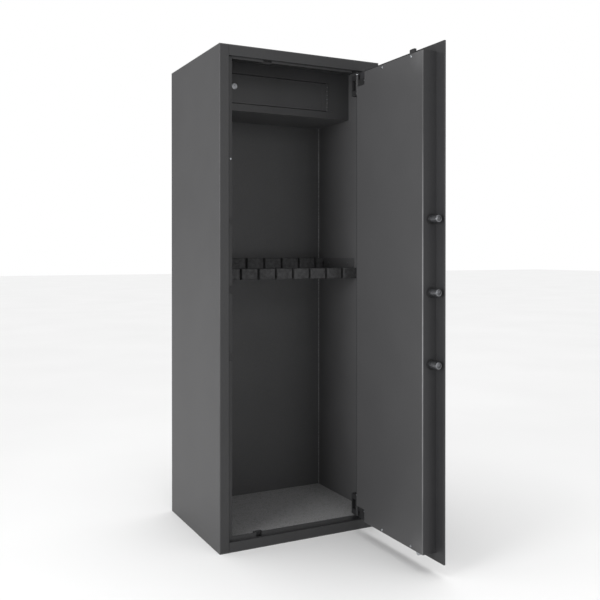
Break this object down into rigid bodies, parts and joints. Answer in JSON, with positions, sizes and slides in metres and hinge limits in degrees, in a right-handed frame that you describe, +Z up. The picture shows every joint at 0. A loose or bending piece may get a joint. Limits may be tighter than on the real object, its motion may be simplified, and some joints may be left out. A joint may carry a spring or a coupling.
{
  "type": "gun safe",
  "caption": "Tall steel gun safe with a right-hinged bolt-work door, upper inner compartment with its own locked door, foam gun rests and a carpeted floor.",
  "frame": {"origin": "centre of the cabinet's base, on the floor", "axes": "+Z up, front of the cabinet towards -Y, hinge side of the door towards +X"},
  "size_m": [0.55, 0.8833, 1.5],
  "materials": {
    "cabinet_paint": "anthracite grey powder coat, fine texture, satin",
    "door_paint": "anthracite grey powder coat, satin",
    "zinc_steel": "bright zinc plated steel",
    "polished_steel": "turned and polished steel",
    "satin_chrome": "satin chrome on zinc alloy",
    "brass_key": "nickel-worn brass",
    "rest_foam": "closed-cell foam, dark grey",
    "carpet": "grey looped needle-felt carpet"
  },
  "bodies": {
    "cabinet": {"side_panel_left": "cabinet_paint", "side_panel_right": "cabinet_paint", "top_panel": "cabinet_paint", "bottom_panel": "cabinet_paint", "back_panel": "cabinet_paint", "back_liner": "cabinet_paint", "frame_top": "cabinet_paint", "frame_bottom": "cabinet_paint", "frame_lock_side": "cabinet_paint", "frame_hinge_side": "cabinet_paint", "frame_rivet": "zinc_steel", "hinge_bracket_top": "cabinet_paint", "hinge_bracket_bottom": "cabinet_paint", "hinge_pins": "zinc_steel", "compartment_shelf": "cabinet_paint", "compartment_front": "cabinet_paint", "frame_hinge_leaf": "cabinet_paint", "compartment_hinge_pin": "zinc_steel", "lock_keeper": "cabinet_paint", "back_rest_bar": "cabinet_paint", "back_rest_blocks": "rest_foam", "front_rest_bar": "cabinet_paint", "front_rest_blocks": "rest_foam", "rest_rail_left": "cabinet_paint", "rest_rail_right": "cabinet_paint", "rest_screws": "zinc_steel", "raised_floor": "cabinet_paint", "floor_mat": "carpet"},
    "door": {"door_plate": "door_paint", "door_box": "door_paint", "door_cover": "door_paint", "cover_screws": "zinc_steel", "hinge_arm_top": "door_paint", "hinge_arm_bottom": "door_paint", "hinge_screws": "zinc_steel", "bolt_bushes": "polished_steel", "bar_guides": "zinc_steel", "spindle_bush": "zinc_steel", "handle_escutcheon": "satin_chrome", "key_escutcheon": "satin_chrome", "lock_case": "zinc_steel", "lock_cover": "zinc_steel"},
    "handle": {"handle": "satin_chrome", "handle_spindle": "satin_chrome", "cam_disc": "zinc_steel"},
    "bolt_work": {"bolt_carrier": "zinc_steel", "locking_bolts": "polished_steel"},
    "top_bar": {"top_bolt_bar": "zinc_steel"},
    "bottom_bar": {"bottom_bolt_bar": "zinc_steel"},
    "key": {"key": "brass_key", "lock_crank": "zinc_steel"},
    "lock_bolt": {"lock_bolt": "zinc_steel"},
    "inner_door": {"inner_door": "cabinet_paint", "door_hinge_leaf": "cabinet_paint", "lock_barrel": "satin_chrome", "lock_nut": "zinc_steel"},
    "inner_lock": {"lock_plug": "satin_chrome", "lock_tongue": "zinc_steel"}
  },
  "joints": [
    {"name": "door_hinge", "type": "hinge", "parent": "cabinet", "child": "door", "pos_m": [0.20275, -0.213, 0.75], "axis": [0, 0, 1], "range_deg": [-90, 0]},
    {"name": "handle_turn", "type": "hinge", "parent": "door", "child": "handle", "pos_m": [0.20875, -0.555, 0.87], "axis": [1, 0, 0], "range_deg": [0, 90]},
    {"name": "bolt_slide", "type": "slide", "parent": "door", "child": "bolt_work", "axis": [0, -1, 0], "range_m": [0, 0.016]},
    {"name": "top_bar_slide", "type": "slide", "parent": "door", "child": "top_bar", "axis": [0, 0, 1], "range_m": [0, 0.016]},
    {"name": "bottom_bar_slide", "type": "slide", "parent": "door", "child": "bottom_bar", "axis": [0, 0, -1], "range_m": [0, 0.016]},
    {"name": "key_turn", "type": "hinge", "parent": "door", "child": "key", "pos_m": [0.20875, -0.568, 0.985], "axis": [1, 0, 0], "range_deg": [0, 90]},
    {"name": "lock_bolt_slide", "type": "slide", "parent": "door", "child": "lock_bolt", "axis": [0, 0, -1], "range_m": [0, 0.009]},
    {"name": "inner_door_hinge", "type": "hinge", "parent": "cabinet", "child": "inner_door", "pos_m": [0.186, -0.0424, 1.4195], "axis": [0, 0, 1], "range_deg": [0, 80]},
    {"name": "inner_lock_turn", "type": "hinge", "parent": "inner_door", "child": "inner_lock", "pos_m": [-0.152, -0.04, 1.4195], "axis": [0, 1, 0], "range_deg": [0, 90]}
  ],
  "couplings": [
    {"joint": "bolt_slide", "follows": "handle_turn", "m_per_rad": 0.010186},
    {"joint": "top_bar_slide", "follows": "handle_turn", "m_per_rad": 0.010186},
    {"joint": "bottom_bar_slide", "follows": "handle_turn", "m_per_rad": 0.010186},
    {"joint": "key_turn", "follows": "lock_bolt_slide", "rad_per_m": 174.53}
  ]
}
